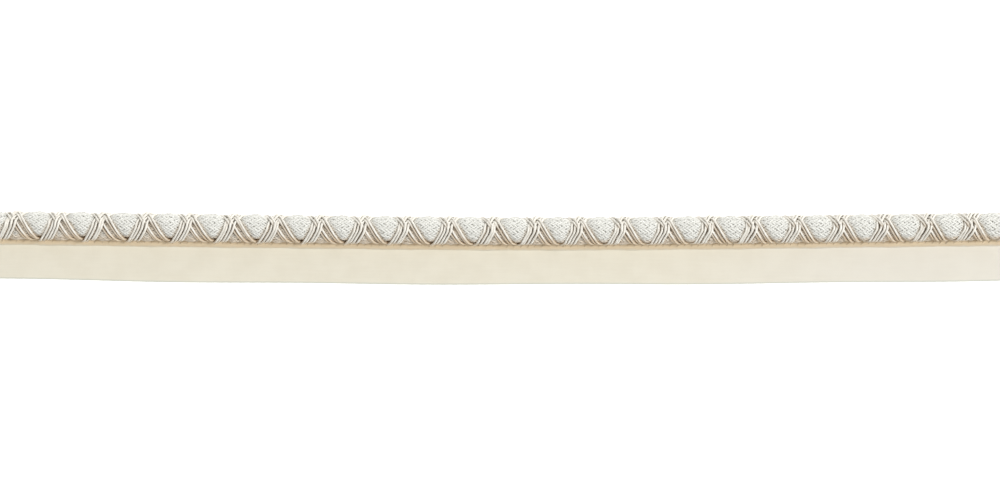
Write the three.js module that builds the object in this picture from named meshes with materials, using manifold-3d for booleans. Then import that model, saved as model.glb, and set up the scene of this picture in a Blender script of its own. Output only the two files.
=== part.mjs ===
// A straight cut length of flanged piping: a thick braided cord, overwrapped by doubled satin
// yarns that cross over and under each other, and a flat woven tape under it to sew it in by.
//
// Units are millimetres. X runs along the trim, Y across it with the cord on the +Y side, and Z
// up from the surface that the tape lies on. The origin is under the middle of the outline.

import * as THREE from "three";
import { mergeVertices } from "three/addons/utils/BufferGeometryUtils.js";
import Module from "manifold-3d";

const wasm = await Module();
wasm.setup();

// Driving dimensions of the length and of the wraps
const wrapPitch = 14; // length of cord that one turn of a wrap takes up
const pitchCount = 24; // whole repeats in the cut length
const wrapOuterRadius = 4.8; // where one double crosses over another
const doubleWidth = 1.6; // width along the cord of two yarns lying side by side
const doubleThickness = 0.6;
const doubleSpacing = 3.2; // between the two doubles that are wound the same way
const fit = 0.3; // clearance between pieces that lie on each other

// Driving dimensions of the core and the tape
const beadRadius = 4.45; // the core between the wraps, where it bulges
const squeeze = 0.8; // how far a set of wraps presses the core in
const tapeThickness = 1.0;
const tapeWidth = 19.6; // from the free edge to the edge hidden under the cord
const tapeReach = 2.1; // how far the tape goes past the cord's axis
const edgeWander = 0.15; // unevenness of the tape's free edge, to each side

// How the length lies: a soft bend towards the tape, and a slow twist of the wraps
const bendCentre = 25;
const bendRounding = 40;
const bendSlope = 0.0132;
const crossingTurnStart = 44; // degrees from the top towards +Y, at the left end
const crossingTurnEnd = 10; // and at the right end
const crossingX = -1.55; // one of the places where the wraps cross
const axisAcross = 5.5; // the cord's axis, from the middle of the outline

const length = wrapPitch * pitchCount;
const halfLength = length / 2;
const axisHeight = tapeThickness + fit + wrapOuterRadius;
const halfPitch = wrapPitch / 2;
const degreesPerMm = 360 / wrapPitch;
const overInnerRadius = wrapOuterRadius - doubleThickness;
const underInnerRadius = overInnerRadius - fit - doubleThickness;
const restInnerRadius = (overInnerRadius + underInnerRadius) / 2 + 0.25;

const coreMaterial = new THREE.MeshStandardMaterial({ color: "#d6d1c7", roughness: 0.75 });
const wrapMaterial = new THREE.MeshStandardMaterial({ color: "#e8dfce", roughness: 0.35 });
const tapeMaterial = new THREE.MeshStandardMaterial({ color: "#e8e0cc", roughness: 0.95 });

// The line of the cord's axis, seen from above
function axisY(x) {
  const away = Math.hypot(x - bendCentre, bendRounding) - bendRounding;
  return axisAcross + bendSlope * away;
}

// A place near the cord: distance along it, degrees round it from the top, and radius
function cordPoint(x, degrees, radius) {
  const share = (x + halfLength) / length;
  const turn = crossingTurnStart + share * (crossingTurnEnd - crossingTurnStart);
  const angle = THREE.MathUtils.degToRad(degrees + turn);
  const y = axisY(x) + radius * Math.sin(angle);
  const z = axisHeight + radius * Math.cos(angle);
  return [x, y, z];
}

// A closed mesh from points and triangles that face outwards
function solidOf(points, triangles) {
  const mesh = new wasm.Mesh({
    numProp: 3,
    vertProperties: new Float32Array(points.flat()),
    triVerts: new Uint32Array(triangles.flat()),
  });
  return new wasm.Manifold(mesh);
}

function solidOfGeometry(geometry) {
  const plain = geometry.clone();
  plain.deleteAttribute("normal");
  plain.deleteAttribute("uv");
  const merged = mergeVertices(plain, 1e-4);
  const mesh = new wasm.Mesh({
    numProp: 3,
    vertProperties: new Float32Array(merged.attributes.position.array),
    triVerts: new Uint32Array(merged.index.array),
  });
  return new wasm.Manifold(mesh);
}

function geometryOf(solid) {
  const mesh = solid.getMesh();
  const geometry = new THREE.BufferGeometry();
  geometry.setAttribute("position", new THREE.BufferAttribute(mesh.vertProperties, 3));
  geometry.setIndex(new THREE.BufferAttribute(mesh.triVerts, 1));
  geometry.computeVertexNormals();
  return geometry;
}

// The two ends are plain straight cuts
const cutBox = solidOfGeometry(new THREE.BoxGeometry(length, 100, 100));

// Degrees folded into the range from -180 to 180
function folded(degrees) {
  return degrees - 360 * Math.round(degrees / 360);
}

// The press of one set of wraps: full under them, fading to nothing on the bead
const pressFull = 72;
const pressNone = 144;
function press(degrees) {
  const away = Math.abs(folded(degrees));
  return THREE.MathUtils.clamp((pressNone - away) / (pressNone - pressFull), 0, 1);
}

// The core's rings follow both sets of wraps: five points a ring, each ring turned half a step
function coreSolid() {
  const step = 72;
  const ringSpacing = step / 2 / degreesPerMm;
  const pointsPerRing = 360 / step;
  const firstRing = Math.floor((-halfLength - crossingX) / ringSpacing) - 2;
  const lastRing = Math.ceil((halfLength - crossingX) / ringSpacing) + 2;
  const ringCount = lastRing - firstRing + 1;
  const points = [];
  for (let ring = firstRing; ring <= lastRing; ring++) {
    const x = crossingX + ring * ringSpacing;
    for (let i = 0; i < pointsPerRing; i++) {
      const degrees = (step / 2) * (ring + 2 * i);
      const along = (step / 2) * ring;
      const radius = beadRadius - squeeze * (press(degrees - along) + press(degrees + along));
      points.push(cordPoint(x, degrees, radius));
    }
  }
  // Point i of a ring lies at step / 2 * (ring + 2 i) degrees, so the point of the next ring
  // half a step above has the same i, and the point two rings on at the same height has i - 1.
  const at = (ring, i) => ring * pointsPerRing + ((i + pointsPerRing) % pointsPerRing);
  const triangles = [];
  for (let ring = 0; ring + 2 < ringCount; ring++) {
    for (let i = 0; i < pointsPerRing; i++) {
      const left = at(ring, i);
      const right = at(ring + 2, i - 1);
      const above = at(ring + 1, i);
      const below = at(ring + 1, i - 1);
      triangles.push([left, right, above], [left, below, right]);
    }
  }
  for (const end of [0, 1]) {
    const outer = end ? ringCount - 1 : 0;
    const inner = end ? ringCount - 2 : 1;
    const middle = points.length;
    points.push([points[at(outer, 0)][0], axisY(points[at(outer, 0)][0]), axisHeight]);
    for (let i = 0; i < pointsPerRing; i++) {
      if (end) {
        triangles.push([middle, at(inner, i + 1), at(outer, i)]);
        triangles.push([middle, at(outer, i), at(inner, i)]);
      } else {
        triangles.push([middle, at(outer, i), at(inner, i)]);
        triangles.push([middle, at(inner, i), at(outer, i + 1)]);
      }
    }
  }
  return solidOf(points, triangles).intersect(cutBox);
}

// One double of yarns, wound one way (hand 1) or the other (hand -1). first and second say
// whether it goes over or under at the two crossings that follow each other closely.
function wrapSolid(hand, side, first, second) {
  const phase = (side * doubleSpacing * degreesPerMm) / 2;
  const flat = 16.5 / degreesPerMm; // half the stretch that stays level at a crossing
  const close = doubleSpacing / 2; // from the first crossing to the second
  const start = crossingX + (side * hand < 0 ? 0 : -close);
  const radiusOf = { over: overInnerRadius, under: underInnerRadius, rest: restInnerRadius };
  const free = halfPitch - close - 2 * flat;
  const stations = [
    { along: -flat, level: first },
    { along: flat, level: first },
    { along: close - flat, level: second },
    { along: close + flat, level: second },
    { along: close + flat + free / 3, level: "rest" },
    { along: close + flat + (2 * free) / 3, level: "rest" },
  ];
  const section = [
    { across: -0.5, rise: 0 },
    { across: -0.34, rise: 1 },
    { across: 0.34, rise: 1 },
    { across: 0.5, rise: 0 },
  ];
  const points = [];
  const firstRepeat = -pitchCount - 2;
  for (let repeat = firstRepeat; repeat <= -firstRepeat; repeat++) {
    for (const station of stations) {
      const x = start + repeat * halfPitch + station.along;
      const degrees = hand * degreesPerMm * (x - crossingX) + phase;
      for (const corner of section) {
        const radius = radiusOf[station.level] + corner.rise * doubleThickness;
        points.push(cordPoint(x + corner.across * doubleWidth, degrees, radius));
      }
    }
  }
  const corners = section.length;
  const ringCount = points.length / corners;
  const triangles = [];
  const add = (a, b, c) => triangles.push(hand < 0 ? [a, b, c] : [a, c, b]);
  for (let ring = 0; ring + 1 < ringCount; ring++) {
    for (let i = 0; i < corners; i++) {
      const here = ring * corners + i;
      const next = ring * corners + ((i + 1) % corners);
      add(here, here + corners, next + corners);
      add(here, next + corners, next);
    }
  }
  const last = (ringCount - 1) * corners;
  add(0, 1, 2);
  add(0, 2, 3);
  add(last, last + 2, last + 1);
  add(last, last + 3, last + 2);
  return solidOf(points, triangles).intersect(cutBox);
}

// The tape's outline, with a free edge that wanders a little
function tapeGeometry() {
  const steps = 16;
  const outline = new THREE.Shape();
  for (let i = 0; i <= steps; i++) {
    const x = -halfLength + (length * i) / steps;
    const wander = edgeWander * (Math.sin(0.031 * x + 1) + Math.sin(0.073 * x));
    const y = axisY(x) + tapeReach - tapeWidth + wander;
    if (i === 0) outline.moveTo(x, y);
    else outline.lineTo(x, y);
  }
  for (let i = steps; i >= 0; i--) {
    const x = -halfLength + (length * i) / steps;
    outline.lineTo(x, axisY(x) + tapeReach);
  }
  return new THREE.ExtrudeGeometry(outline, { depth: tapeThickness, bevelEnabled: false });
}

function named(name, geometry, material) {
  const mesh = new THREE.Mesh(geometry, material);
  mesh.name = name;
  return mesh;
}

const group = new THREE.Group();
group.add(named("flange_tape", tapeGeometry(), tapeMaterial));
group.add(named("braided_core", geometryOf(coreSolid()), coreMaterial));

// The two hands are woven plainly: each double goes over one and under the other
const wraps = [
  { name: "wrap_a1", hand: 1, side: 1, first: "under", second: "over" },
  { name: "wrap_a2", hand: 1, side: -1, first: "over", second: "under" },
  { name: "wrap_b1", hand: -1, side: -1, first: "over", second: "under" },
  { name: "wrap_b2", hand: -1, side: 1, first: "under", second: "over" },
];
for (const { name, hand, side, first, second } of wraps) {
  group.add(named(name, geometryOf(wrapSolid(hand, side, first, second)), wrapMaterial));
}

export default group;
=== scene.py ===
# %% [markdown]
# # Flanged piping, a straight cut length
# This lesson builds a length of upholstery piping: a fine braided cord, overwrapped by pairs of
# satin yarns that cross over and under each other, with a flat woven tape along one side.
# The solid model of the trim is loaded first and stays fixed. Everything made here is in metres
# and lies in the same place as that model.

# %% Load the solid model
import math
import random
import bpy
import numpy as np
from mathutils import Vector, Matrix


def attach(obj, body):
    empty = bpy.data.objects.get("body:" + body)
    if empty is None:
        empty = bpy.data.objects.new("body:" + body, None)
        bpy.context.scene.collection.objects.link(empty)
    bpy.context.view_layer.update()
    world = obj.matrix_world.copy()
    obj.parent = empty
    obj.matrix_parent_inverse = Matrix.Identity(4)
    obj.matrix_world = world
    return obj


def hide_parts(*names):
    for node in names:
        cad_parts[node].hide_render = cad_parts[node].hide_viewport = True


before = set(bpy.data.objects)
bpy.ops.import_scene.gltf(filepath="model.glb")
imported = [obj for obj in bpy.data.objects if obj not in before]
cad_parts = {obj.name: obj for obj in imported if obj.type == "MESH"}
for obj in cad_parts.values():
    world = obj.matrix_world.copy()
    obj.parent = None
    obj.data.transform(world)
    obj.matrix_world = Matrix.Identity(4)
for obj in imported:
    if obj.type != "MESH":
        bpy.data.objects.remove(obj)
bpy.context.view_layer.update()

MM = 0.001
scene = bpy.context.scene
print("solid pieces:", sorted(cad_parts))

# %% [markdown]
# ## Camera
# The trim was photographed from straight above, so the camera looks straight down. A long lens
# keeps the thick cord from leaning. Its height follows from the width of trim that it has to see,
# measured a little above the tape.

# %% Camera straight above
PICTURE_WIDTH = 323.6 * MM
LENS = 85.0
SENSOR = 36.0
CAMERA_ACROSS = -0.70 * MM
SEEN_HEIGHT = 4 * MM
camera_data = bpy.data.cameras.new("camera_above")
camera_data.lens = LENS
camera_data.sensor_width = SENSOR
camera_data.clip_start = 0.01
camera = bpy.data.objects.new("camera_above", camera_data)
scene.collection.objects.link(camera)
camera.location = (0.0, CAMERA_ACROSS, PICTURE_WIDTH * LENS / SENSOR + SEEN_HEIGHT)
scene.camera = camera
print("camera height in mm:", round(camera.location.z / MM, 1))

# %% [markdown]
# ## Sizes and the course of the trim
# The trim is as long, wide and high as the solid model, and its soft bend is given by three
# numbers. A place near the cord is given by how far along it is, how many degrees round the cord
# from the top, and how far from the cord's axis. That makes it easy to wind yarns on a straight
# cord first and to bend it softly afterwards.

# %% Sizes
LENGTH = 336.0 * MM
HALF = LENGTH / 2
WRAP_PITCH = 14.0 * MM
RATE = 360.0 / WRAP_PITCH
AXIS_HEIGHT = 6.1 * MM
AXIS_ACROSS = 5.5 * MM
BEND_CENTRE = 14.0 * MM
BEND_ROUNDING = 40.0 * MM
BEND_SLOPE = 0.0132
TAPE_WIDTH = 19.6 * MM
TAPE_REACH = 2.1 * MM


def soft_step(low, high, value):
    """0 before low, 1 past high, and a smooth rise between them. High may be below low."""
    share = np.clip((value - low) / (high - low), 0.0, 1.0)
    return share * share * (3.0 - 2.0 * share)


def folded(turn):
    """Degrees folded into the range from -180 to 180."""
    return turn - 360.0 * np.round(turn / 360.0)


def axis_y(x):
    """The line of the cord's axis, seen from above."""
    return AXIS_ACROSS + BEND_SLOPE * (np.hypot(x - BEND_CENTRE, BEND_ROUNDING) - BEND_ROUNDING)


def place(x, turn, radius):
    """The point at a distance along the cord, a turn round it and a radius from its axis."""
    angle = np.radians(turn)
    y = axis_y(x) + radius * np.sin(angle)
    z = AXIS_HEIGHT + radius * np.cos(angle)
    return np.stack([x, y, z], axis=-1)


print("axis from end to end in mm:", np.round(axis_y(np.array([-HALF, 0, HALF])) / MM, 2))

# %% [markdown]
# ## How the wraps run
# Two doubles of satin yarn are wound one way round the cord (hand a) and two the other way
# (hand b). Each takes one turn for every 14 mm. Wound yarns never lie quite evenly. Those of
# hand b close up from left to right, the crossing places creep round the cord, and those of hand
# a are dragged aside on top of the cord. Curves could be drawn by hand for each yarn. Courses
# that are worked out once are easier, because the braid and the core follow them as well.

# %% Courses of the four doubles
CROSSING_X = -1.75 * MM
CROSSING_TURN = -5.4
CROSSING_CREEP = -112.0
SPACING_A = 2.15 * MM
SPACING_B_LEFT = 2.90 * MM
SPACING_B_LESS = 0.45 * MM
DOUBLES = {
    "a1": {"hand": 1, "side": 1},
    "a2": {"hand": 1, "side": -1},
    "b1": {"hand": -1, "side": -1},
    "b2": {"hand": -1, "side": 1},
}
OVER = {("a1", "b2"), ("a2", "b1"), ("b1", "a1"), ("b2", "a2")}


def askew_share(x):
    """How far the unevenness has set in: 0 in the left part, 1 in the right part."""
    return soft_step(-80 * MM, 60 * MM, x)


def spacing_of(hand, x):
    """How far apart along the cord the two doubles of one hand lie."""
    if hand > 0:
        return SPACING_A + 0 * x
    return SPACING_B_LEFT - SPACING_B_LESS * askew_share(x)


def lowest_crossing_turn(x):
    """Degrees round the cord to the lowest of four neighbouring crossings."""
    return CROSSING_TURN + CROSSING_CREEP * x


def sideways_push(hand, x, turn):
    """How far a double is shoved along the cord from its even course."""
    share = askew_share(x)
    turn = folded(turn)
    if hand > 0:
        leaning = 0.9 * share * soft_step(-100, -30, turn)
        dragged = (0.8 + 0.4 * share) * soft_step(-12, 35, turn)
        return -(leaning + dragged) * (1 - soft_step(80, 175, turn)) * MM
    return -(0.25 * share + 0.27 * np.sin(np.radians(turn))) * MM


def course_of(hand, side, base):
    """Where one double runs: the distance along the cord and the turn round it."""
    half_spread = RATE * spacing_of(hand, base) / 2
    middle = lowest_crossing_turn(base) + half_spread
    turn = hand * RATE * (base - CROSSING_X) + side * half_spread + middle
    return base + sideways_push(hand, base, turn), turn


fine_steps = np.linspace(-HALF - 40 * MM, HALF + 40 * MM, 12001)
COURSES = {name: course_of(base=fine_steps, **double) for name, double in DOUBLES.items()}


def turn_of(name, x):
    return np.interp(x, *COURSES[name])


for name, (x, turn) in COURSES.items():
    print(name, "runs forward everywhere:", bool((np.diff(x) > 0).all()))

# %% [markdown]
# ## How the yarns press each other
# Where one double goes over another it rises, and where it goes under it sinks. The soft core is
# pressed in under the wraps and swells into beads between them. A cloth or soft-body simulation
# could find this balance too, but a few smooth steps give the same forms at once and every time.

# %% Rise, sink and press
WRAP_REST_RADIUS = 4.09 * MM
WRAP_RISE = 0.39 * MM
BEAD_RADIUS = 4.58 * MM
SQUEEZE = 0.78 * MM
PRESS_FULL = 22.0
PRESS_FADE = 78.0


def rise_of(name, x, turn):
    """How far a double rises over, or sinks under, the doubles of the other hand."""
    other_hand = -DOUBLES[name]["hand"]
    spread = RATE * spacing_of(other_hand, x)
    full = 0.35 * spread
    total = np.zeros_like(x)
    for other, double in DOUBLES.items():
        if double["hand"] == other_hand:
            away = np.abs(folded(turn_of(other, x) - turn))
            sign = 1.0 if (name, other) in OVER else -1.0
            total += sign * (1.0 - soft_step(full, spread, away))
    return WRAP_RISE * np.clip(total, -1, 1)


def press_of(hand, x, turn):
    """1 under the doubles of one hand, and less the further away they are."""
    away = np.full_like(x, 360.0)
    for name, double in DOUBLES.items():
        if double["hand"] == hand:
            away = np.minimum(away, np.abs(folded(turn_of(name, x) - turn)))
    return (1.0 - np.clip((away - PRESS_FULL) / PRESS_FADE, 0.0, 1.0)) ** 2


def low_side(turn, begins, ends):
    """1 where the cord faces sideways to the tape, 0 on its top and on the other side."""
    return soft_step(begins, ends, -np.sin(np.radians(turn)))


def paled(turn):
    """Less than 1 on the far flank, where light falls deep between the yarns."""
    return 1.0 - 0.7 * soft_step(0.0, 0.85, np.sin(np.radians(turn)))


def core_radius(x, turn):
    """The outside of the core, with its beads and the valleys under the wraps."""
    return BEAD_RADIUS - SQUEEZE * (press_of(1, x, turn) + press_of(-1, x, turn))


sample = np.linspace(-HALF, HALF, 2001)
print("core radius on top in mm:", np.round(core_radius(sample, 0 * sample).min() / MM, 2),
      "to", np.round(core_radius(sample, 0 * sample).max() / MM, 2))

# %% [markdown]
# ## Selecting pieces and moving their points
# An operator in Blender acts on what is selected, so a helper first selects one piece alone. The
# points of soft forms are moved in code, all at once. Two more helpers keep a value for each
# point as an attribute, which the materials can read.

# %% Helpers for points
def select_only(piece):
    if bpy.context.object and bpy.context.object.mode != "OBJECT":
        bpy.ops.object.mode_set(mode="OBJECT")
    bpy.ops.object.select_all(action="DESELECT")
    piece.select_set(True)
    bpy.context.view_layer.objects.active = piece


def points_of(piece):
    points = np.empty(len(piece.data.vertices) * 3)
    piece.data.vertices.foreach_get("co", points)
    return points.reshape(-1, 3)


def move_points(piece, points):
    piece.data.vertices.foreach_set("co", np.ascontiguousarray(points).ravel())
    piece.data.update()


def keep_vector(piece, name, values):
    attribute = piece.data.attributes.new(name, "FLOAT_VECTOR", "POINT")
    attribute.data.foreach_set("vector", np.ascontiguousarray(values).ravel())


def keep_number(piece, name, values):
    attribute = piece.data.attributes.new(name, "FLOAT", "POINT")
    attribute.data.foreach_set("value", np.ascontiguousarray(values).ravel())


print("point helpers ready")

# %% [markdown]
# ## Winding and cutting
# Each yarn starts as a small ring of points, and the Screw modifier winds it into a helix, as
# a lathe winds a thread. A bevelled curve could do the same, but the modifier keeps the points in
# an even order, so that each one is easily moved to where the real yarn lies. Both ends are cut
# with Bisect, and no two yarns quite at the same length, as scissors leave them.

# %% Helpers for winding and cutting
HAIR_BREADTH = 0.002 * MM


def apply_modifiers(piece):
    select_only(piece)
    for modifier in list(piece.modifiers):
        bpy.ops.object.modifier_apply(modifier=modifier.name)


def merge_and_face_outwards(piece):
    select_only(piece)
    bpy.ops.object.mode_set(mode="EDIT")
    bpy.ops.mesh.select_all(action="SELECT")
    bpy.ops.mesh.remove_doubles(threshold=HAIR_BREADTH)
    bpy.ops.mesh.normals_make_consistent(inside=False)
    bpy.ops.object.mode_set(mode="OBJECT")


def cut_ends(piece, short=0.0):
    """Cuts a piece straight across at both ends, and closes the cuts with flat faces."""
    select_only(piece)
    bpy.ops.object.mode_set(mode="EDIT")
    for end in (-1, 1):
        bpy.ops.mesh.select_all(action="SELECT")
        bpy.ops.mesh.bisect(plane_co=(end * (HALF - short), 0, 0), plane_no=(end, 0, 0),
                            use_fill=True, clear_outer=True, threshold=HAIR_BREADTH / 2)
        bpy.ops.mesh.faces_shade_flat()
        bpy.ops.mesh.mark_sharp()
    bpy.ops.object.mode_set(mode="OBJECT")
    merge_and_face_outwards(piece)


def wound_ring(name, sides, along, thick, radius, pitch, hand, steps, turns):
    """A helix round the X axis, made from a flat ring that stands on top of the cord."""
    bpy.ops.object.select_all(action="DESELECT")
    bpy.ops.mesh.primitive_circle_add(vertices=sides, radius=0.5, fill_type="NOTHING",
                                      rotation=(math.pi / 2, 0, 0))
    piece = bpy.context.object
    piece.name = piece.data.name = name
    piece.scale = (along, thick, 1)
    piece.location = (-turns * pitch / 2, 0, radius)
    bpy.ops.object.transform_apply(location=True, rotation=True, scale=True)
    screw = piece.modifiers.new("winding", "SCREW")
    screw.axis = "X"
    screw.angle = -hand * 2 * math.pi
    screw.screw_offset = pitch
    screw.steps = screw.render_steps = steps
    screw.iterations = turns
    screw.use_smooth_shade = True
    apply_modifiers(piece)
    return piece


def fibre_lay(across_angle, along, twist_length, seed):
    """Where a point lies in its yarn: round it, turning with the yarn's twist, and along it."""
    angle = across_angle + 2 * np.pi * along / twist_length
    return np.stack([np.cos(angle), np.sin(angle), along / MM + 37.0 * seed], axis=-1)


print("winding helpers ready")

# %% [markdown]
# ## The filling
# Inside the braid of a real piping cord lies a plain filling of cotton or foam. It shows only at
# the cut ends, but it stops light from passing between the braided yarns. It could be left a
# straight rod. Here it is one smooth closed tube that swells and narrows with the cord, so that
# the braid rests on it everywhere.

# %% Filling
FILLING_DEPTH = 0.62 * MM
FILLING_SHORT = 0.10 * MM
END_SPARE = 2 * MM


def make_filling():
    bpy.ops.object.select_all(action="DESELECT")
    bpy.ops.mesh.primitive_circle_add(vertices=32, radius=1.0, fill_type="NOTHING",
                                      rotation=(0, math.pi / 2, 0))
    piece = bpy.context.object
    piece.name = piece.data.name = "core_filling"
    piece.location = (-HALF - END_SPARE, 0, 0)
    bpy.ops.object.transform_apply(location=True, rotation=True, scale=True)
    screw = piece.modifiers.new("drawn_out", "SCREW")
    screw.axis = "X"
    screw.angle = 0
    screw.screw_offset = LENGTH + 2 * END_SPARE
    screw.steps = screw.render_steps = 680
    screw.use_smooth_shade = True
    apply_modifiers(piece)
    points = points_of(piece)
    turn = np.degrees(np.arctan2(points[:, 1], points[:, 2]))
    x = points[:, 0]
    move_points(piece, place(x, turn, core_radius(x, turn) - FILLING_DEPTH))
    cut_ends(piece, short=FILLING_SHORT)
    return piece


filling = make_filling()
print("filling:", len(filling.data.polygons), "faces")

# %% [markdown]
# ## The braid
# The cord's skin is a tubular braid: 28 fine yarns run round it one way and 28 the other, and
# each goes over two and under two. A bump texture would look flat from the side, so the yarns
# are real. One yarn of each way is wound first. It is only five-sided, because there are many.

# %% One braided yarn
BRAID_COUNT = 28
BRAID_PITCH = 39.5 * MM
BRAID_TURNS = 9
BRAID_STEPS = 2 * BRAID_COUNT
BRAID_WIDTH = 1.30 * MM
BRAID_THICKNESS = 0.50 * MM
BRAID_LIFT = 0.19 * MM
BRAID_STEP_TURN = 360.0 / BRAID_COUNT
BRAID_SIDES = 5
BRAID_SLANT = 1.22
BRAID_TWIST = 5 * MM


def braided_yarn(name, hand):
    radius = BEAD_RADIUS
    piece = wound_ring(name, BRAID_SIDES, BRAID_WIDTH, BRAID_THICKNESS, radius,
                       BRAID_PITCH, hand, BRAID_STEPS, BRAID_TURNS)
    points = points_of(piece)
    ring = np.repeat(np.arange(BRAID_TURNS * BRAID_STEPS + 1), BRAID_SIDES)
    centre = (ring / BRAID_STEPS - BRAID_TURNS / 2) * BRAID_PITCH
    rise = (np.hypot(points[:, 1], points[:, 2]) - radius) / (BRAID_THICKNESS / 2)
    across = (points[:, 0] - centre) / (BRAID_WIDTH / 2)
    angle = np.arctan2(rise, across)
    keep_vector(piece, "lay", fibre_lay(angle, centre * BRAID_SLANT, BRAID_TWIST, 0))
    return piece


print("points round a braided yarn:", BRAID_SIDES)

# %% [markdown]
# ## The braid, all round
# A braiding machine carries the same yarn on every spool. So the first yarn is copied and each
# copy is turned one step further round the cord. An Array modifier could repeat it too, but each
# copy also needs its own number, by which the weave and the fibres differ.

# %% Copies of the braided yarn
def braid_one_way(name, hand):
    first = braided_yarn(name, hand)
    yarns = [first]
    keep_number(first, "number", np.zeros(len(first.data.vertices)))
    for number in range(1, BRAID_COUNT):
        select_only(first)
        bpy.ops.object.duplicate(linked=False)
        yarn = bpy.context.object
        turn = Matrix.Rotation(math.radians(-number * BRAID_STEP_TURN), 4, "X")
        yarn.data.transform(turn)
        yarn.data.attributes["number"].data.foreach_set(
            "value", np.full(len(yarn.data.vertices), float(number)))
        yarns.append(yarn)
    bpy.ops.object.select_all(action="DESELECT")
    for yarn in yarns:
        yarn.select_set(True)
    bpy.context.view_layer.objects.active = first
    bpy.ops.object.join()
    return bpy.context.object


braids = {1: braid_one_way("braid_right_laid", 1), -1: braid_one_way("braid_left_laid", -1)}
print("braided yarns each way:", BRAID_COUNT)

# %% [markdown]
# ## The braid, woven and pressed
# Where two braided yarns cross, one lies higher and the other lower, in a wave along each yarn
# that takes four crossings. The wraps draw the whole braid in, and every yarn wavers a little,
# except near the cut ends. The points also note how deep they lie and whether they are on the
# side next to the tape, and both places get painted shade, darker and more tan.

# %% Weave
BRAID_DEPTH = 0.30 * MM
BRAID_SHORT = 0.05 * MM


def weave_braid(piece, hand):
    points = points_of(piece)
    numbers = np.empty(len(points))
    piece.data.attributes["number"].data.foreach_get("value", numbers)
    x = points[:, 0]
    turn = np.degrees(np.arctan2(points[:, 1], points[:, 2]))
    out = np.hypot(points[:, 1], points[:, 2]) - BEAD_RADIUS
    crossed = (turn + hand * x * 360.0 / BRAID_PITCH) / BRAID_STEP_TURN
    uneven = soft_step(1 * MM, 5 * MM, HALF - np.abs(x))
    turn += uneven * 1.3 * np.sin(x / (2.3 * MM) + 2.4 * numbers)
    turn += uneven * 1.0 * np.sin(x / (1.1 * MM) + 4.1 * numbers)
    out += uneven * 0.05 * MM * np.sin(x / (1.7 * MM) + 3.3 * numbers)
    wave = hand * np.clip(1.35 * np.cos(np.pi / 2 * (numbers + crossed + 0.5)), -1, 1)
    radius = core_radius(x, turn) - BRAID_DEPTH + out + BRAID_LIFT * wave
    lay = np.empty(len(points) * 3)
    piece.data.attributes["lay"].data.foreach_get("vector", lay)
    lay = lay.reshape(-1, 3)
    lay[:, 2] += 41.0 * numbers + 500.0 * (hand > 0)
    piece.data.attributes["lay"].data.foreach_set("vector", lay.ravel())
    # Painted shade: darker where a yarn sinks or lies under the wraps, tan on the side next to the
    # tape, both weaker on the far flank.
    pressed = np.maximum(press_of(1, x, turn), press_of(-1, x, turn))
    depth_shade = np.maximum((BRAID_LIFT - BRAID_LIFT * wave - out) / (2 * BRAID_LIFT), 0.9 * pressed)
    keep_number(piece, "depth_shade", np.clip(depth_shade, 0, 1) * paled(turn))
    shaded = np.maximum(0.9 * low_side(turn, 0.58, 0.92), 0.65 * soft_step(0.55, 0.95, pressed))
    keep_number(piece, "low_side", shaded * paled(turn))
    move_points(piece, place(x, turn, radius))
    cut_ends(piece, short=BRAID_SHORT * (hand < 0))


for hand, braid in braids.items():
    weave_braid(braid, hand)
    print(braid.name + ":", len(braid.data.polygons), "faces")

# %% [markdown]
# ## The satin wraps
# Two glossy yarns lie side by side in every double. Each is a helix with its own slight wander,
# so the two open and close like real ones. One flat ribbon with a groove would be quicker, but it
# could not part or cast the fine shadow between its yarns. A yarn of three soft plies is not
# quite round, which breaks its highlight into long streaks. Where the cord turns down to the tape
# the yarns are lifted a little, and the left yarn of each double of hand b lies a little deeper.

# %% Satin wraps
YARN_WIDTH = 0.80 * MM
YARN_THICKNESS = 0.76 * MM
YARN_APART = 1.0 * MM
YARN_STEPS = 48
YARN_TURNS = 26
YARN_SIDES = 12
PLY_LENGTH = 6.5 * MM
PLY_RELIEF = 0.07
LOW_LIFT = 0.20 * MM
YARN_SINK = 0.20 * MM
YARN_SLANT = 2.25


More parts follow.
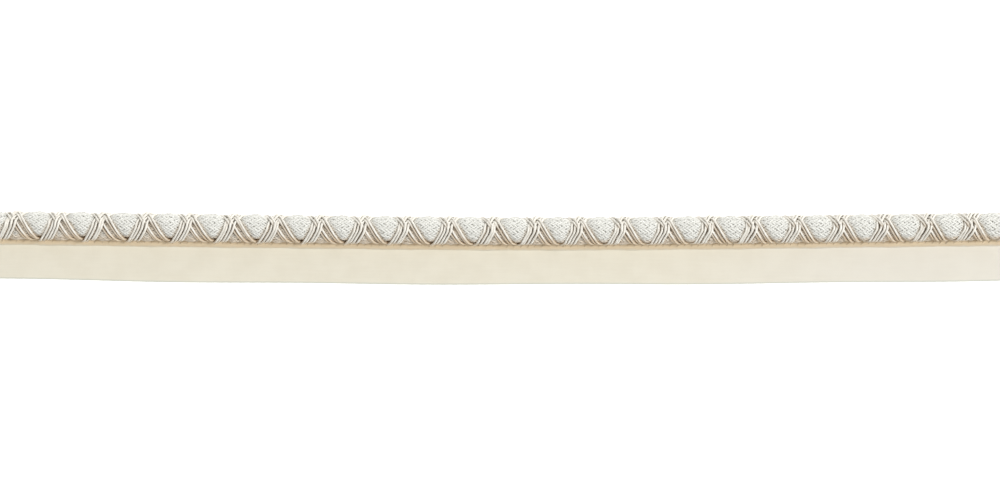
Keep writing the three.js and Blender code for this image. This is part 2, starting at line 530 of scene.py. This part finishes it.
def satin_yarn(double_name, number):
    double = DOUBLES[double_name]
    piece = wound_ring(f"yarn_{double_name}_{number}", YARN_SIDES, YARN_WIDTH, YARN_THICKNESS,
                       WRAP_REST_RADIUS, WRAP_PITCH, double["hand"], YARN_STEPS, YARN_TURNS)
    points = points_of(piece)
    rings = YARN_TURNS * YARN_STEPS + 1
    base = np.linspace(-YARN_TURNS / 2, YARN_TURNS / 2, rings) * WRAP_PITCH
    ring = np.repeat(np.arange(rings), YARN_SIDES)
    rise = (np.hypot(points[:, 1], points[:, 2]) - WRAP_REST_RADIUS) / (YARN_THICKNESS / 2)
    across = (points[:, 0] - base[ring]) / (YARN_WIDTH / 2)
    angle = np.arctan2(rise, across)

    double_number = list(DOUBLES).index(double_name)
    seed = 3.1 * number + 7.7 * double_number
    course_x, course_turn = course_of(base=base, **double)
    wander = 0.10 * np.sin(base / (5.3 * MM) + seed) + 0.08 * np.sin(base / (2.9 * MM) + 2.7 * seed)
    course_x = course_x + ((number - 0.5) * YARN_APART + wander * MM)
    level = WRAP_REST_RADIUS + rise_of(double_name, course_x, course_turn)
    level += 0.04 * MM * np.sin(base / (3.7 * MM) + 1.9 * seed)
    level += LOW_LIFT * low_side(course_turn, 0.6, 1.0)
    if double["hand"] < 0 and number == 0:
        level -= YARN_SINK

    along = base * YARN_SLANT
    twist = 2 * np.pi * along / PLY_LENGTH
    lobe = 1 + PLY_RELIEF * np.cos(3 * (angle + twist[ring] + seed))
    x = course_x[ring] + across * lobe * YARN_WIDTH / 2
    radius = level[ring] + rise * lobe * YARN_THICKNESS / 2
    keep_vector(piece, "lay", fibre_lay(angle, along[ring], PLY_LENGTH, seed))
    # Painted shade: each yarn darkens from its crown to its flanks, the left yarn of each double of
    # hand b is darker still, and the side next to the tape turns tan, higher up for hand b.
    deeper = 0.5 * (double["hand"] < 0) * (number == 0)
    keep_number(piece, "depth_shade",
                np.clip(0.5 - 0.5 * rise + deeper, 0, 1) * paled(course_turn[ring]))
    if double["hand"] > 0:
        shaded = 0.7 * low_side(course_turn, 0.86, 1.0)
    else:
        shaded = low_side(course_turn, 0.45, 0.85)
    keep_number(piece, "low_side", shaded[ring])
    move_points(piece, place(x, course_turn[ring], radius))
    cut_ends(piece, short=(0.015 + 0.04 * double_number + 0.02 * number) * MM)
    return piece


wrap_pieces = {}
for double_name in DOUBLES:
    yarns = [satin_yarn(double_name, number) for number in (0, 1)]
    select_only(yarns[0])
    yarns[1].select_set(True)
    bpy.ops.object.join()
    wrap = bpy.context.object
    wrap.name = wrap.data.name = "satin_" + double_name
    wrap_pieces[double_name] = wrap
print("satin doubles:", sum(len(wrap.data.polygons) for wrap in wrap_pieces.values()), "faces")

# %% [markdown]
# ## The tape
# The flange is a plain woven cotton tape, by which the trim is sewn into a seam. It lies flat but
# never quite: its free edge wanders, and the cord's stitching draws shallow puckers into it.
# Beside the cord the stitches pull it up into a low fold, which shows as a tan band, partly from
# its own shading and partly from painted shade in the tape's material. A cloth simulation would
# not put the fold just where it is wanted, so the points of a fine grid are moved there instead.
# Solidify then gives the grid its thickness, and Bevel rounds its edges.
# The width that the tape was cut to is measured over the fold.

# %% Tape
TAPE_STEPS_ALONG = 560
TAPE_STEPS_ACROSS = 66
FOLD_HEIGHT = 2.15 * MM
TAPE_THICKNESS = 0.85 * MM
EDGE_WANDER = 0.15 * MM
FOLD_FOOT = 6.2 * MM
FOLD_TOP = 4.45 * MM
FOLD_BACK_TOP = 4.0 * MM
FOLD_BACK_FOOT = 2.7 * MM


def tape_edge_y(x):
    wander = EDGE_WANDER * (np.sin(31.0 * x + 1) + np.sin(73.0 * x))
    return axis_y(x) + TAPE_REACH - TAPE_WIDTH + wander


def fold_height(beside, uneven=0.0):
    """The fold's height at a distance beside the cord's axis."""
    outer = soft_step(FOLD_FOOT, FOLD_TOP, beside + uneven)
    return FOLD_HEIGHT * outer * soft_step(FOLD_BACK_FOOT, FOLD_BACK_TOP, beside)


def make_tape():
    bpy.ops.object.select_all(action="DESELECT")
    bpy.ops.mesh.primitive_grid_add(x_subdivisions=TAPE_STEPS_ALONG,
                                    y_subdivisions=TAPE_STEPS_ACROSS, size=1)
    piece = bpy.context.object
    piece.name = piece.data.name = "woven_tape_strip"
    points = points_of(piece)
    x = points[:, 0] * LENGTH
    share = points[:, 1] + 0.5
    edge = tape_edge_y(x) + 0.02 * MM * np.sin(x / (0.55 * MM))
    root = axis_y(x) + TAPE_REACH
    y = edge + share * (root - edge)
    free = soft_step(0.0, 1.0, 1 - share / 0.62)
    pucker = 0.035 * np.sin(x / (3.1 * MM) + 1.5 * np.sin(x / (19 * MM))) * soft_step(0.1, 0.6, share)
    lie = 0.05 * np.sin(x / (14 * MM) + 2.0 * share) * free + 0.04 * np.sin(x / (37 * MM) - 1) * free
    selvedge = 0.05 * np.exp(-((share - 0.035) / 0.025) ** 2)
    beside = axis_y(x) - y
    uneven = 0.08 * MM * np.sin(x / (4.3 * MM)) + 0.05 * MM * np.sin(x / (1.9 * MM) + 1)
    z = (0.09 + pucker + np.abs(lie) + selvedge) * MM + fold_height(beside, uneven)
    move_points(piece, np.stack([x, y, z], axis=-1))

    cloth = piece.data.uv_layers.active.data
    corner_points = np.empty(len(piece.data.loops), dtype=np.int32)
    piece.data.loops.foreach_get("vertex_index", corner_points)
    cloth_place = np.stack([x / MM, (share * TAPE_WIDTH) / MM], axis=-1)[corner_points]
    cloth.foreach_set("uv", np.ascontiguousarray(cloth_place).ravel())

    thick = piece.modifiers.new("thickness", "SOLIDIFY")
    thick.thickness = TAPE_THICKNESS
    thick.offset = 1
    soft = piece.modifiers.new("rounded_edges", "BEVEL")
    soft.width = 0.25 * MM
    soft.segments = 3
    soft.limit_method = "ANGLE"
    soft.angle_limit = math.radians(60)
    apply_modifiers(piece)
    select_only(piece)
    bpy.ops.object.shade_smooth_by_angle(angle=math.radians(50))
    return piece


tape = make_tape()
heights = points_of(tape)[:, 2]

# %% [markdown]
# ## The stitches that hold the cord
# A row of small slanting stitches ties the cord's side to the tape. Each is a short curve with a
# round bevel, from the side of the fold over its top and into the cord. They could be one mesh
# that is copied, but each curve is easily varied, as real stitches vary.

# %% Stitches
STITCH_APART = 2.3 * MM
STITCH_THREAD = 0.11 * MM


def make_stitches():
    random.seed(11)
    count = int((LENGTH - 4 * MM) / STITCH_APART)
    stitches = []
    for number in range(count):
        x = -HALF + 2 * MM + number * STITCH_APART + random.uniform(-0.2, 0.2) * MM
        foot = axis_y(x) - (5.45 + random.uniform(-0.1, 0.1)) * MM
        slant = random.uniform(1.0, 1.5) * MM
        path = [
            (x, foot, 1.7 * MM),
            (x + 0.1 * slant, foot + 0.06 * MM, 2.7 * MM),
            (x + 0.3 * slant, foot + 0.40 * MM, 3.2 * MM),
            (x + 0.7 * slant, foot + 1.1 * MM, 3.2 * MM),
            (x + slant, axis_y(x) - 2.8 * MM, 3.4 * MM),
        ]
        curve = bpy.data.curves.new("stitch", "CURVE")
        curve.dimensions = "3D"
        curve.bevel_depth = STITCH_THREAD
        curve.bevel_resolution = 1
        curve.resolution_u = 3
        curve.use_fill_caps = True
        spline = curve.splines.new("NURBS")
        spline.points.add(len(path) - 1)
        for point, where in zip(spline.points, path):
            point.co = (*where, 1)
        spline.use_endpoint_u = True
        spline.order_u = 4
        stitch = bpy.data.objects.new("stitch", curve)
        scene.collection.objects.link(stitch)
        stitches.append(stitch)
    bpy.ops.object.select_all(action="DESELECT")
    for stitch in stitches:
        stitch.select_set(True)
    bpy.context.view_layer.objects.active = stitches[0]
    bpy.ops.object.convert(target="MESH")
    bpy.ops.object.join()
    piece = bpy.context.object
    piece.name = piece.data.name = "edge_stitches"
    merge_and_face_outwards(piece)
    bpy.ops.object.shade_smooth()
    return piece


stitches = make_stitches()
print("stitches:", len(stitches.data.polygons), "faces")

# %% [markdown]
# ## Loose fibres
# Staple and satin yarns both shed a few fine hairs. A sparse fuzz takes the hard outline off the
# cord. A hair particle system could grow them. Some hundred short curves are enough, though, and
# they are drawn at random places from a fixed seed, so that they come out the same every time.

# %% Fuzz
FUZZ_COUNT = 700
FUZZ_RADIUS = 0.018 * MM


def make_fuzz():
    random.seed(5)
    curve = bpy.data.curves.new("cord_fuzz", "CURVE")
    curve.dimensions = "3D"
    curve.bevel_depth = FUZZ_RADIUS
    curve.bevel_resolution = 0
    curve.resolution_u = 3
    curve.use_fill_caps = True
    for _ in range(FUZZ_COUNT):
        x = random.uniform(-HALF + 3 * MM, HALF - 3 * MM)
        turn = random.uniform(-55, 110)
        foot_radius = float(core_radius(np.array([x]), np.array([turn]))[0]) - 0.1 * MM
        reach = random.uniform(0.35, 1.05) * MM
        lean = random.uniform(-1.6, 1.6) * MM
        swing = random.uniform(-14, 14)
        spline = curve.splines.new("NURBS")
        spline.points.add(3)
        for step, point in enumerate(spline.points):
            part = step / 3
            height = foot_radius + reach * math.sin(math.radians(125) * part)
            where = place(np.array(x + lean * part * part), turn + swing * part, height)
            point.co = (*where, 1)
        spline.use_endpoint_u = True
        spline.order_u = 4
    piece = bpy.data.objects.new("cord_fuzz", curve)
    scene.collection.objects.link(piece)
    select_only(piece)
    bpy.ops.object.convert(target="MESH")
    piece = bpy.context.object
    merge_and_face_outwards(piece)
    return piece


fuzz = make_fuzz()
print("fuzz:", len(fuzz.data.polygons), "faces")

# %% [markdown]
# ## Building blocks of the materials
# The materials are built from a few nodes again and again: a sum, a noise, a range, a mix of two
# colours. Small helpers add and join them, so that the materials themselves stay easy to read.

# %% Node helpers
def new_group(name, inputs, outputs):
    group = bpy.data.node_groups.new(name, "ShaderNodeTree")
    for label, kind, value in inputs:
        socket = group.interface.new_socket(label, in_out="INPUT", socket_type=kind)
        if value is not None:
            socket.default_value = value
    for label, kind in outputs:
        group.interface.new_socket(label, in_out="OUTPUT", socket_type=kind)
    return group, group.nodes.new("NodeGroupInput"), group.nodes.new("NodeGroupOutput")


def add_node(tree, kind, **settings):
    node = tree.nodes.new(kind)
    for name, value in settings.items():
        setattr(node, name, value)
    return node


def math_node(tree, operation, first, second=None):
    node = add_node(tree, "ShaderNodeMath", operation=operation)
    for socket, value in zip(node.inputs, (first, second)):
        if value is None:
            continue
        if isinstance(value, (int, float)):
            socket.default_value = value
        else:
            tree.links.new(value, socket)
    return node.outputs[0]


def stretched(tree, vector, scale):
    node = add_node(tree, "ShaderNodeVectorMath", operation="MULTIPLY")
    tree.links.new(vector, node.inputs[0])
    node.inputs[1].default_value = scale
    return node.outputs[0]


def noise(tree, vector, scale, detail=2.0):
    node = add_node(tree, "ShaderNodeTexNoise")
    node.inputs["Scale"].default_value = scale
    node.inputs["Detail"].default_value = detail
    tree.links.new(vector, node.inputs["Vector"])
    return node.outputs["Fac"]


def ranged(tree, value, low, high, new_low=0.0, new_high=1.0):
    node = add_node(tree, "ShaderNodeMapRange", interpolation_type="SMOOTHSTEP")
    tree.links.new(value, node.inputs["Value"])
    for label, number in zip(("From Min", "From Max", "To Min", "To Max"),
                             (low, high, new_low, new_high)):
        node.inputs[label].default_value = number
    return node.outputs["Result"]


def mixed(tree, share, first, second):
    node = add_node(tree, "ShaderNodeMix", data_type="RGBA")
    for label, value in (("Factor", share), ("A", first), ("B", second)):
        socket = [entry for entry in node.inputs if entry.name == label and entry.enabled][0]
        if isinstance(value, (int, float, tuple)):
            socket.default_value = value
        else:
            tree.links.new(value, socket)
    return [entry for entry in node.outputs if entry.enabled][0]


def attribute_of(tree, name, output):
    return add_node(tree, "ShaderNodeAttribute", attribute_name=name).outputs[output]


def bumped(tree, shader, height, distance, strength):
    bump = add_node(tree, "ShaderNodeBump")
    bump.inputs["Distance"].default_value = distance
    bump.inputs["Strength"].default_value = strength
    tree.links.new(height, bump.inputs["Height"])
    tree.links.new(bump.outputs["Normal"], shader.inputs["Normal"])


def new_material(name):
    material = bpy.data.materials.new(name)
    material.use_nodes = True
    return material, material.node_tree, material.node_tree.nodes["Principled BSDF"]


print("node helpers ready")

# %% [markdown]
# ## How thread shines
# A yarn is a bundle of filaments. Each filament is a thin bright line, and the lines follow the
# yarn's twist. A noise stretched along the "lay" attribute gives those lines: it tells where a
# point lies round its own yarn and how far along it, so the lines wind with the yarn. An image of
# thread would have to be laid on each yarn and would repeat. Deep places get painted shade in a
# second colour, and the side next to the tape a tan painted shade, as light takes on the colour of
# what it meets.

# %% Filament group
def filament_group():
    """Fine lines along a yarn, with painted shade in the hollows between its plies and low on its
    sides.
    """
    group, given, result = new_group(
        "Filament yarn",
        [("Lay", "NodeSocketVector", None), ("Depth shade", "NodeSocketFloat", 0.0),
         ("Bright", "NodeSocketColor", (1, 1, 1, 1)), ("Deep", "NodeSocketColor", (0.5, 0.5, 0.5, 1)),
         ("Deepening", "NodeSocketFloat", 0.5), ("Streaks", "NodeSocketFloat", 0.5),
         ("Low side shade", "NodeSocketFloat", 0.0), ("Tan", "NodeSocketColor", (0.5, 0.4, 0.3, 1))],
        [("Color", "NodeSocketColor"), ("Height", "NodeSocketFloat"), ("Dulling", "NodeSocketFloat")])
    lay = given.outputs["Lay"]
    fine = noise(group, stretched(group, lay, (5.0, 5.0, 0.35)), 1.6, 3.0)
    broad = noise(group, stretched(group, lay, (1.1, 1.1, 0.22)), 1.0, 1.0)
    lines = math_node(group, "ADD", math_node(group, "MULTIPLY", fine, 0.65),
                      math_node(group, "MULTIPLY", broad, 0.35))
    lines = ranged(group, lines, 0.32, 0.66)
    dark = math_node(group, "SUBTRACT", 1.0, lines)
    dark = math_node(group, "MULTIPLY", dark, given.outputs["Streaks"])
    # Painted shade: deep places and yarn flanks mix towards the Deep colour.
    low = ranged(group, given.outputs["Depth shade"], 0.18, 0.80)
    low = math_node(group, "MULTIPLY", low, given.outputs["Deepening"])
    share = math_node(group, "MAXIMUM", dark, low)
    colour = mixed(group, share, given.outputs["Bright"], given.outputs["Deep"])
    # Painted shade: the side next to the tape mixes towards the Tan colour.
    toned = math_node(group, "MULTIPLY", given.outputs["Low side shade"], 0.75)
    colour = mixed(group, toned, colour, given.outputs["Tan"])
    group.links.new(colour, result.inputs["Color"])
    group.links.new(lines, result.inputs["Height"])
    group.links.new(share, result.inputs["Dulling"])
    return group


FILAMENTS = filament_group()
print("filament group:", len(FILAMENTS.nodes), "nodes")

# %% [markdown]
# ## How plain weave looks
# In plain weave, warp and weft threads take turns on top. Two sine waves over the tape's own UV
# map, in millimetres, give the threads, and their product says which one is on top. Real tape
# also has slubs, which are thicker threads, and clouds of tone, so two noises darken it a little.

# %% Weave group
def weave_group():
    """Plain weave: warp and weft threads take turns on top, each one rounded."""
    group, given, result = new_group(
        "Plain weave",
        [("Cloth", "NodeSocketVector", None), ("Threads per mm", "NodeSocketFloat", 2.6),
         ("Bright", "NodeSocketColor", (1, 1, 1, 1)), ("Deep", "NodeSocketColor", (0.5, 0.5, 0.5, 1)),
         ("Mottling", "NodeSocketFloat", 0.4)],
        [("Color", "NodeSocketColor"), ("Height", "NodeSocketFloat")])
    split = group.nodes.new("ShaderNodeSeparateXYZ")
    group.links.new(given.outputs["Cloth"], split.inputs[0])
    wobble = math_node(group, "MULTIPLY", noise(group, given.outputs["Cloth"], 0.7), 0.2)
    turns = math_node(group, "MULTIPLY", given.outputs["Threads per mm"], math.pi)
    waves = []
    for axis in ("X", "Y"):
        place_on = math_node(group, "ADD", split.outputs[axis], wobble)
        waves.append(math_node(group, "SINE", math_node(group, "MULTIPLY", place_on, turns)))
    warp = math_node(group, "ABSOLUTE", waves[0])
    weft = math_node(group, "ABSOLUTE", waves[1])
    which = ranged(group, math_node(group, "MULTIPLY", waves[0], waves[1]), -0.12, 0.12)
    height = math_node(group, "ADD", math_node(group, "MULTIPLY", warp, which),
                       math_node(group, "MULTIPLY", weft, math_node(group, "SUBTRACT", 1.0, which)))
    slubs = noise(group, stretched(group, given.outputs["Cloth"], (0.10, 1.6, 1.0)), 1.0, 2.0)
    clouds = noise(group, given.outputs["Cloth"], 0.13, 3.0)
    patches = math_node(group, "ADD", math_node(group, "MULTIPLY", slubs, 0.25),
                        math_node(group, "MULTIPLY", clouds, 0.75))
    patches = math_node(group, "MULTIPLY", ranged(group, patches, 0.35, 0.65),
                        given.outputs["Mottling"])
    # Painted shade: darker in the gaps between the threads.
    gap_shade = math_node(group, "MULTIPLY", ranged(group, height, 0.55, 0.05), 0.35)
    share = math_node(group, "MAXIMUM", patches, gap_shade)
    colour = mixed(group, share, given.outputs["Bright"], given.outputs["Deep"])
    group.links.new(colour, result.inputs["Color"])
    group.links.new(height, result.inputs["Height"])
    return group


PLAIN_WEAVE = weave_group()
print("weave group:", len(PLAIN_WEAVE.nodes), "nodes")

# %% [markdown]
# ## Satin and braid
# Satin yarn is smooth continuous filament, so it gets low roughness and a warm painted shade in
# its hollows, for the light that goes from yarn to yarn. The braid is finer and cooler, and a little
# duller.
# Both come from one function with different values, so that they stay relatives.

# %% Yarn materials
# The colour of the painted tan shade on the cord's side next to the tape.
TAN_SHADE = (0.66, 0.50, 0.32, 1)


def yarn_material(name, bright, deep, deepening, streaks, roughness, spread, sheen, bump_depth):
    material, tree, shader = new_material(name)
    group = add_node(tree, "ShaderNodeGroup", node_tree=FILAMENTS)
    tree.links.new(attribute_of(tree, "lay", "Vector"), group.inputs["Lay"])
    tree.links.new(attribute_of(tree, "depth_shade", "Fac"), group.inputs["Depth shade"])
    tree.links.new(attribute_of(tree, "low_side", "Fac"), group.inputs["Low side shade"])
    group.inputs["Tan"].default_value = TAN_SHADE
    group.inputs["Bright"].default_value = (*bright, 1)
    group.inputs["Deep"].default_value = (*deep, 1)
    group.inputs["Deepening"].default_value = deepening
    group.inputs["Streaks"].default_value = streaks
    tree.links.new(group.outputs["Color"], shader.inputs["Base Color"])
    tree.links.new(ranged(tree, group.outputs["Dulling"], 0.0, 1.0, roughness, roughness + spread),
                   shader.inputs["Roughness"])
    bumped(tree, shader, group.outputs["Height"], bump_depth, 0.7)
    shader.inputs["Sheen Weight"].default_value = sheen
    shader.inputs["Sheen Roughness"].default_value = 0.4
    shader.inputs["Specular IOR Level"].default_value = 1.0
    return material


# The deep colours are painted shade in hollows and on flanks, and also the tone of the dark streaks.
satin = yarn_material("satin_yarn", bright=(0.98, 0.958, 0.885), deep=(0.43, 0.315, 0.19),
                      deepening=1.0, streaks=0.32, roughness=0.26, spread=0.28, sheen=0.03,
                      bump_depth=0.07 * MM)
silver = yarn_material("braid_yarn", bright=(0.98, 0.982, 0.932), deep=(0.49, 0.455, 0.38),
                       deepening=0.68, streaks=0.36, roughness=0.42, spread=0.25, sheen=0.12,
                       bump_depth=0.06 * MM)
print("yarn materials:", satin.name, silver.name)

# %% [markdown]
# ## The cotton tape
# The tape scatters light evenly and shows its weave. Close to the cord it gets a tan painted
# shade, where the sewing and the fold keep light away, and its free edge is a shade greyer.
# Towards the right end it is a little cooler. The UV map holds millimetres along and across the
# tape, so every band is a plain range of it.

# %% Tape material
# The tan band and its colour are painted shade beside the cord; it fades out again under the cord.
TAN_SHADE_BAND = (11.9, 12.95)
TAN_FADES = (16.5, 14.2)
EDGE_BAND = (0.55, 0.2)
COOLER_PART = (40.0, 130.0)
TAPE_SHADE_TAN = (0.78, 0.62, 0.41, 1)
TAPE_EDGE = (0.56, 0.59, 0.52, 1)
TAPE_COOLER = (0.765, 0.743, 0.708, 1)


def tape_material():
    material, tree, shader = new_material("woven_tape")
    cloth = add_node(tree, "ShaderNodeUVMap", uv_map="UVMap").outputs["UV"]
    group = add_node(tree, "ShaderNodeGroup", node_tree=PLAIN_WEAVE)
    tree.links.new(cloth, group.inputs["Cloth"])
    group.inputs["Threads per mm"].default_value = 2.6
    group.inputs["Bright"].default_value = (0.815, 0.778, 0.66, 1)
    group.inputs["Deep"].default_value = (0.69, 0.64, 0.515, 1)
    group.inputs["Mottling"].default_value = 0.30
    split = tree.nodes.new("ShaderNodeSeparateXYZ")
    tree.links.new(cloth, split.inputs[0])
    uneven = math_node(tree, "MULTIPLY", noise(tree, cloth, 0.6), 0.8)
    near_cord = math_node(tree, "ADD", split.outputs["Y"], uneven)
    # Painted shade: tan beside the cord.
    tan_shade_share = ranged(tree, near_cord, *TAN_SHADE_BAND, 0.0, 0.9)
    tan_shade_share = math_node(tree, "MULTIPLY", tan_shade_share, ranged(tree, near_cord, *TAN_FADES, 0.15, 1.0))
    cooler = ranged(tree, split.outputs["X"], *COOLER_PART, 0.0, 0.4)
    ground = mixed(tree, cooler, group.outputs["Color"], TAPE_COOLER)
    tinted = mixed(tree, tan_shade_share, ground, TAPE_SHADE_TAN)
    edge = ranged(tree, split.outputs["Y"], *EDGE_BAND, 0.0, 0.7)
    edged = mixed(tree, edge, tinted, TAPE_EDGE)
    tree.links.new(edged, shader.inputs["Base Color"])
    bumped(tree, shader, group.outputs["Height"], 0.05 * MM, 0.45)
    shader.inputs["Roughness"].default_value = 0.92
    shader.inputs["Sheen Weight"].default_value = 0.25
    shader.inputs["Sheen Roughness"].default_value = 0.5
    shader.inputs["Specular IOR Level"].default_value = 0.25
    return material


cloth_tape = tape_material()
print("tape material:", cloth_tape.name)

# %% [markdown]
# ## Thread, filling and fibres
# Sewing thread, cotton filling and loose hairs are too small for a pattern of their own. A fine
# grain in two tones of one colour is enough for all three.

# %% Thread materials
THREAD_GRAIN = 2600.0


def thread_material(name, colour, roughness):
    material, tree, shader = new_material(name)
    where = tree.nodes.new("ShaderNodeTexCoord").outputs["Object"]
    grain = noise(tree, where, THREAD_GRAIN)
    shade = tuple(0.72 * part for part in colour)
    tree.links.new(mixed(tree, ranged(tree, grain, 0.35, 0.65), (*colour, 1), (*shade, 1)),
                   shader.inputs["Base Color"])
    bumped(tree, shader, grain, 0.03 * MM, 0.5)
    shader.inputs["Roughness"].default_value = roughness
    shader.inputs["Sheen Weight"].default_value = 0.3
    return material


sewing = thread_material("sewing_thread", (0.80, 0.66, 0.46), 0.7)
cotton = thread_material("cotton_filling", (0.72, 0.69, 0.61), 0.95)
hair = thread_material("loose_fibre", (0.80, 0.77, 0.70), 0.6)

for braid in braids.values():
    braid.data.materials.append(silver)
for wrap in wrap_pieces.values():
    wrap.data.materials.append(satin)
tape.data.materials.append(cloth_tape)
stitches.data.materials.append(sewing)
filling.data.materials.append(cotton)
fuzz.data.materials.append(hair)
print("materials:", ", ".join(sorted(material.name for material in bpy.data.materials)))

# %% [markdown]
# ## Light and floor
# Trims are photographed on a bright white table that hides every shadow outside the object. So
# the table glows a little, and most of the light comes evenly from all sides. A key lamp, high up
# at the right, brings out the yarns with soft highlights. It stands far away, so that the tape is
# lit evenly. A weak lamp behind the cord brightens its far edge.

# %% Light and floor
LIGHT_ALL_ROUND = 0.56
TABLE_GLOW = 0.5
TABLE_SIZE = 4.0
TABLE_DEPTH = 0.2 * MM

scene.view_settings.view_transform = "Standard"
world = bpy.data.worlds.new("studio")
world.use_nodes = True
world.node_tree.nodes["Background"].inputs["Color"].default_value = (1.0, 0.995, 0.98, 1)
world.node_tree.nodes["Background"].inputs["Strength"].default_value = LIGHT_ALL_ROUND
scene.world = world


def soft_lamp(name, location, size, power):
    light = bpy.data.lights.new(name, "AREA")
    light.shape = "RECTANGLE"
    light.size, light.size_y = size
    light.energy = power
    lamp = bpy.data.objects.new(name, light)
    scene.collection.objects.link(lamp)
    lamp.location = location
    lamp.rotation_euler = (Vector((0, 0, 0)) - Vector(location)).to_track_quat("-Z", "Y").to_euler()
    return lamp


soft_lamp("key_right", (2.40, 0.40, 3.15), (0.68, 0.68), 100.0)
soft_lamp("rim_behind", (0.35, 2.20, 1.15), (0.9, 0.5), 6.0)

bpy.ops.object.select_all(action="DESELECT")
bpy.ops.mesh.primitive_plane_add(size=TABLE_SIZE, location=(0, 0, -TABLE_DEPTH))
floor = bpy.context.object
floor.name = "white_table"
material, tree, shader = new_material("white_table")
shader.inputs["Base Color"].default_value = (0.9, 0.9, 0.895, 1)
shader.inputs["Roughness"].default_value = 0.8
shader.inputs["Emission Color"].default_value = (1.0, 1.0, 0.99, 1)
shader.inputs["Emission Strength"].default_value = TABLE_GLOW
floor.data.materials.append(material)

# %% [markdown]
# ## Joining the pieces to the solid model
# The trim is one body, so every piece rides on it. Each visual piece takes the place of the plain
# solid that it dresses.

# %% Hand over
for piece in [filling, *braids.values(), *wrap_pieces.values(), tape, stitches, fuzz]:
    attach(piece, "root")
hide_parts("braided_core")
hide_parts("flange_tape")
for double_name, wrap in wrap_pieces.items():
    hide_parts("wrap_" + double_name)

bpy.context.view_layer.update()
